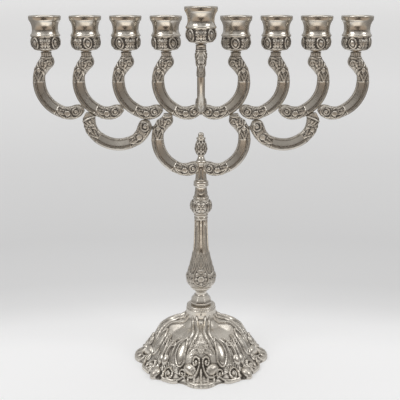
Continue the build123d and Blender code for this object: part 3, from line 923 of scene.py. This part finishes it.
def side_chasing(x, y):
    """The chasing of one side of the base on its unrolled sheet; x is across the side and y is outwards.

    Places are given as seen from above, for the left half; the right half mirrors it."""
    x = -np.abs(x)
    line, frond, curl = pens(x, y, unrolled)
    tall = 1.3  # the scrolls are stretched outwards

    def mound(centre, half_width, half_length, height, lean=0.0):
        cx, cy = unrolled(*centre)
        dx, dy = x - cx, y - cy
        return height * dome(np.hypot((dx + lean * dy) / half_width, dy / half_length))

    ridges = highest(
        line([
            (-4.4, 12.0), (-4.2, 17), (-3.9, 23), (-3.2, 30.5), (-7.0, 38.6), (-13.4, 45.4),
        ], 4.4, 2.0, (0.6, 0.4)),
        line([
            (-8.8, 12.0), (-8.6, 17), (-8.4, 23), (-8.2, 30.0), (-11.0, 35.6), (-13.4, 38.4),
        ], 3.8, 1.7, (0.6, 0.35)),
        line([
            (-13.4, 33.6), (-18.4, 35.6), (-23.2, 39.4), (-25.6, 44.0), (-24.6, 49.0), (-20.8, 51.4),
            (-17.2, 49.4), (-15.6, 45.0), (-14.2, 39.6), (-13.0, 34.6),
        ], 2.2, 1.8, (1, 1)),
        line([(-18.4, 31.4), (-24.4, 35.4), (-29.0, 40.8), (-30.6, 46.6)], 2.8, 1.6, (0.3, 0.3)),
        line([
            (-21.6, 29.6), (-28.8, 32.8), (-34.8, 37.4), (-38.6, 43.4), (-39.8, 50.2),
        ], 4.2, 2.2, (0.4, 0.4)),
        line([
            (-17.4, 60.6), (-25.0, 63.4), (-34.2, 62.4), (-40.6, 57.8), (-41.4, 53.0),
        ], 3.0, 3.0, (0.6, 0.9)),
        curl((-34.0, 53.6), 7.6, 180, 1.7, 2.3, 3.2, tall),
        curl((-20.2, 57.2), 5.2, 60, -1.5, 2.0, 2.8, tall),
        line([(-1.6, 49.6), (-2.2, 54.4), (-6.2, 59.6), (-12.4, 61.4), (-17.2, 58.4)], 2.6, 3.2, (0.6, 0.8)),
        curl((-5.4, 51.6), 4.8, 20, -1.4, 2.0, 2.7, tall),
    )
    bodies = highest(
        mound((-20.0, 44.2), 5.0, 10.0, 1.1, 0.35),
        mound((-11.4, 55.0), 8.6, 6.4, 3.4, -0.3),
        rosette(x, y, unrolled(0, 45.2), 4.2, 6, 1.7),
        rosette(x, y, unrolled(-5.0, 43.0), 2.4, 5, 1.2),
        frond([(-3.2, 46.4), (-6.4, 46.6), (-9.4, 47.8)], 2.8, 1.3),
        frond([(-1.6, 41.6), (-1.8, 38.6), (-0.8, 35.4)], 2.6, 1.0),
        frond([(-6.8, 41.8), (-8.4, 42.2), (-9.8, 44.0)], 2.2, 1.0),
        frond([(-0.2, 55.6), (-0.2, 58.6), (-0.2, 62.4)], 3.4, 2.2),
    )
    feathers = np.zeros_like(x)
    for step in range(8):
        px, py = -36.6 + 1.7 * step, 41.0 + 1.35 * step
        plume = [(px, py), (px - 0.2, py + 3.4), (px + 0.8, py + 6.6)]
        feathers = highest(feathers, line(plume, 1.7, 1.2, (0.5, 0.4)))
    tabs = np.zeros_like(x)
    for angle in (0.0, -6.4, -12.6):
        across, outwards = np.sin(np.radians(angle)), np.cos(np.radians(angle))
        tabs = highest(tabs, line([(r * across, r * outwards) for r in (58.6, 63, 67.4)], 3.6, 1.3, (0.5, 1)))
    reach = np.hypot(x, y)
    shell_edge = 1.3 * dome((reach - dome_walk[-1] + 1.6) / 2.0) * (1 - rise(-x, 17, 20))
    ground = stipple(x, y, 1.7, 0.26) * rise(y, 34, 42) * (1 - rise(-x, 10, 16))
    flutes = highest(
        line([(0, 12.5), (0, 17.6), (0, 24), (0, 30.0)], 4.0, 1.9, (0.6, 0.3)),
        line([(-6.6, 12.5), (-6.4, 17.0), (-6.2, 23), (-5.8, 30.0)], 2.6, 1.8, (0.6, 0.4)),
        line([(-11.6, 14.5), (-11.4, 18.4), (-11.2, 23), (-11.0, 29.6)], 3.2, 1.5, (0.6, 0.3)),
    )
    return highest(ridges, bodies, feathers, tabs, shell_edge) + ground - flutes


def corner_chasing(x, y):
    """The chasing on a corner of the base, laid out like that of a side; x is across the corner."""
    x = -np.abs(x)
    line, frond, curl = pens(x, y, unrolled)
    ball_x, ball_y = unrolled(0, 65.0)
    lobe_x, lobe_y = unrolled(-3.0, 54.0)
    return highest(
        curl((-3.6, 43.4), 4.6, 0, -1.5, 1.9, 2.2),
        line([(-0.4, 43.4), (-0.8, 47.0), (-2.6, 49.8)], 2.0, 1.6, (0.8, 0.4)),
        2.6 * dome(np.hypot((x - lobe_x) / 4.6, (y - lobe_y) / 6.0)),
        frond([(0, 50.4), (0, 47.6), (0, 44.8)], 2.6, 1.8),
        frond([(-1.0, 58.8), (-4.0, 59.0), (-7.0, 61.4)], 3.0, 1.8),
        4.0 * dome(np.hypot((x - ball_x) / 6.8, (y - ball_y) / 7.0)),
    )


def base():
    """The lobed, domed base, hollow underneath."""
    neck = turned(
        (5, [(2.8, 59.45), (13.4, 59.45)]),
        (10, [(13.4, 59.45), (14.3, 58.8), (14.5, 57.6), (14.0, 56.6)]),
        (18, [(14.0, 56.6), (14.8, 56.0), (15.0, 53.6), (15.5, 50.6), (17.2, 47.2)]),
    )
    rim = turned((8, [(69.0, 3.4), (69.3, 2.6), (69.2, 1.2), (68.6, 0.0)]), (3, [(68.6, 0.0), (66.4, 0.0)]))
    hollow = turned(
        (12, [(66.4, 0.0), (58, 5), (51, 14), (44, 24), (37.4, 33), (30, 39), (22, 43.4)]),
        (3, [(22, 43.4), (12, 44), (2.8, 44)]),
        (3, [(2.8, 44), (2.8, 59.45)]),
    )
    profile = np.vstack([neck, dome_line[1:], rim[1:], hollow[1:]])
    points, degrees, height = revolved(profile, 600)
    reach = np.hypot(points[..., 0], points[..., 1])
    share = rise(reach, 47, 69)
    points[..., :2] *= (1 + share * (base_outline(degrees) / 69.4 - 1))[..., None]
    towards_corner = np.abs(from_front(degrees, 4)) / 45
    dip = 4.6 * rise(reach, 15, 22) * (1 - rise(reach, 34, 48)) * rise(towards_corner, 0.25, 0.8)
    points[..., 2] -= np.where(height > 20, dip, 0)

    side = np.radians(from_front(degrees, 4))
    corner = np.radians(from_front(degrees + 45, 4))
    row = np.arange(len(profile))[:, None]
    up_neck = np.where(row < len(neck), height - dome_line[0, 1], 0)
    walk = np.interp(reach, dome_line[:, 0], dome_walk) - up_neck
    across = np.maximum(walk, reach)
    chased = highest(
        side_chasing(across * np.sin(side), walk * np.cos(side)),
        corner_chasing(across * np.sin(corner), walk * np.cos(corner)),
    )
    on_top = row < len(neck) + len(dome_line) + 4
    relief = np.where(on_top, chased - crest_height, 0) * rise(walk, 12, 17)
    for spot_walk, spot_radius in ((11.0, 0.8), (19.6, 1.3)):  # two punched spots on each side
        spot = dome(np.hypot(side * 16, walk - spot_walk) / spot_radius)
        relief = relief - 1.0 * np.where(on_top, spot, 0)
    grid_piece("lobed_base", "base", "stand", points, relief, black_at=0.7, matte=0.3 * on_top + 0 * relief)


# ---- carried-over CAD pieces

def dress(node, material):
    """Gives a CAD node its procedural material."""
    piece = frame["nodes"][node]
    piece.data.materials.clear()
    piece.data.materials.append(material)


branches()
finial()
collar()
hub()
spool()
ring_under_spool()
knop()
shaft()
shaft_foot()
knob()
base()
for node in ("tie_rod", "base_washer", "base_nut"):
    dress(node, steel)
solder_fillets()
for place in [*range(1, 9), "shamash"]:
    dress(f"cup_stud_{place}", brass)
    dress(f"cup_seat_{place}", silver)


# ---- studio

camera_place = (0, -0.743, 0.370)
camera_tilt = 15.2  # degrees down
light_target = (0, 0, 0.2)


def floor():
    """A pale seamless floor with a painted glow, whose grey follows the distance from a point below the
    camera as painted shade.

    Mirror reflections see other, painted tones: bright near the object, brown and then dark in front, dim
    aside."""
    mesh = bpy.data.meshes.new("floor")
    mesh.from_pydata([(-60, -60, 0), (60, -60, 0), (60, 60, 0), (-60, 60, 0)], [], [(0, 1, 2, 3)])
    material, tree, shader = new_material("pale_floor_painted_shade_glow_reflections")
    place = tree.nodes.new("ShaderNodeTexCoord").outputs["Object"]
    split = tree.nodes.new("ShaderNodeSeparateXYZ")
    tree.links.new(place, split.inputs["Vector"])
    reach = tree.nodes.new("ShaderNodeVectorMath")
    reach.operation = "DISTANCE"
    reach.inputs[1].default_value = (0, camera_place[1], 0)
    tree.links.new(place, reach.inputs[0])
    decades = math_node(tree, "LOGARITHM", reach.outputs["Value"], 10, clamp=False)
    nearest, farthest = np.log10(0.6), np.log10(20)
    # Painted shade: the floor's grey dips at middle distances and rises again far off.
    painted_shade_greys = [
        (0.78, 0.70), (0.84, 0.66), (0.90, 0.57), (0.97, 0.52), (1.15, 0.49), (1.7, 0.55), (3.2, 0.70),
        (19.0, 0.82),
    ]
    stops = [
        ((np.log10(distance) - nearest) / (farthest - nearest), (grey * 0.985, grey * 0.99, grey))
        for distance, grey in painted_shade_greys
    ]
    painted_floor_shade = ramp(tree, remap(tree, decades, nearest, farthest, 0.0, 1.0), *stops)

    # Painted reflections: glossy rays see the floor near white by the object, brown and then nearly black in
    # front, and dark at the sides.
    glossy = tree.nodes.new("ShaderNodeLightPath").outputs["Is Glossy Ray"]
    forward = split.outputs["Y"]
    aside = math_node(tree, "ABSOLUTE", split.outputs["X"], clamp=False)

    def mirrored(along, low, high, most=1.0):
        return math_node(tree, "MULTIPLY", glossy, remap(tree, along, low, high, 0.0, most))

    near = mirrored(forward, -0.14, -0.26)
    warm = mirrored(forward, -0.50, -0.56)
    gone = mirrored(forward, -0.66, -0.76)
    gone = math_node(tree, "MULTIPLY", gone, remap(tree, aside, 0.35, 0.6, 1.0, 0.15))
    dim = mirrored(aside, 0.2, 0.36, 0.7)
    seen = mix(tree, near, painted_floor_shade, (0.98, 0.93, 0.86))
    seen = mix(tree, dim, seen, (0.10, 0.085, 0.07))
    seen = mix(tree, gone, mix(tree, warm, seen, (0.44, 0.365, 0.30)), (0.05, 0.04, 0.033))
    tree.links.new(seen, shader.inputs["Base Color"])
    # Painted glow: the floor emits its own colour as well as reflecting the lamps.
    tree.links.new(seen, shader.inputs["Emission Color"])
    shader.inputs["Emission Strength"].default_value = 0.45
    shader.inputs["Roughness"].default_value = 0.8
    shader.inputs["Specular IOR Level"].default_value = 0.1
    mesh.materials.append(material)
    piece = bpy.data.objects.new("floor", mesh)
    bpy.context.scene.collection.objects.link(piece)


def world():
    """The room in the mirror of the silver: pale sweep behind and at the sides, dim and brown in front."""
    made = bpy.data.worlds.new("studio")
    bpy.context.scene.world = made
    made.use_nodes = True
    tree = made.node_tree
    background = tree.nodes["Background"]
    place = tree.nodes.new("ShaderNodeTexCoord")
    split = tree.nodes.new("ShaderNodeSeparateXYZ")
    tree.links.new(place.outputs["Generated"], split.inputs["Vector"])
    room = ramp(
        tree, remap(tree, split.outputs["Y"], -1.0, 1.0, 0.0, 1.0),
        (0.0, (0.06, 0.052, 0.045)), (0.16, (0.12, 0.105, 0.093)), (0.34, (0.28, 0.262, 0.24)),
        (0.5, (0.50, 0.495, 0.49)), (1.0, (0.64, 0.645, 0.655)),
    )
    above = ramp(
        tree, remap(tree, split.outputs["Z"], 0.0, 1.0, 0.0, 1.0),
        (0.0, (0.0, 0.0, 0.0)), (0.16, (0.05, 0.05, 0.05)), (0.4, (0.8, 0.8, 0.8)), (0.9, (1.0, 1.0, 1.0)),
    )
    clutter = tree.nodes.new("ShaderNodeTexNoise")
    clutter.inputs["Scale"].default_value = 3.2
    clutter.inputs["Detail"].default_value = 3
    tree.links.new(place.outputs["Generated"], clutter.inputs["Vector"])
    lit = mix(tree, above, room, (0.66, 0.65, 0.635))
    uneven = mix(tree, remap(tree, clutter.outputs["Fac"], 0.42, 0.62, 0.0, 0.55), lit, (0.08, 0.07, 0.06))
    path = tree.nodes.new("ShaderNodeLightPath")
    seen = mix(tree, path.outputs["Is Camera Ray"], uneven, (0.76, 0.765, 0.77))
    tree.links.new(seen, background.inputs["Color"])
    background.inputs["Strength"].default_value = 1.0


def softbox(name, place, width, height, power):
    """A rectangular studio light aimed at the object."""
    light = bpy.data.lights.new(name, "AREA")
    light.shape = "RECTANGLE"
    light.size, light.size_y = width, height
    light.energy = power
    lamp = bpy.data.objects.new(name, light)
    bpy.context.scene.collection.objects.link(lamp)
    lamp.location = place
    aim = np.array(light_target) - np.array(place)
    lamp.rotation_euler = Vector(aim).to_track_quat("-Z", "Y").to_euler()


def camera():
    """The photograph's viewpoint: a little above the cups, looking down at the middle of the stem."""
    data = bpy.data.cameras.new("camera")
    data.lens, data.sensor_width = 70.7, 36.0
    data.shift_x = -0.0025
    view = bpy.data.objects.new("camera", data)
    view.location = camera_place
    view.rotation_euler = (np.radians(90 - camera_tilt), 0, 0)
    bpy.context.scene.collection.objects.link(view)
    bpy.context.scene.camera = view


floor()
world()
softbox("key_left", (-1.9, -1.5, 2.3), 1.4, 1.4, 19)
softbox("key_right", (2.1, -1.1, 2.0), 1.2, 1.2, 12)
softbox("overhead", (0, 0.2, 3.0), 2.4, 1.6, 15)
camera()
bpy.context.scene.view_settings.view_transform = "Standard"
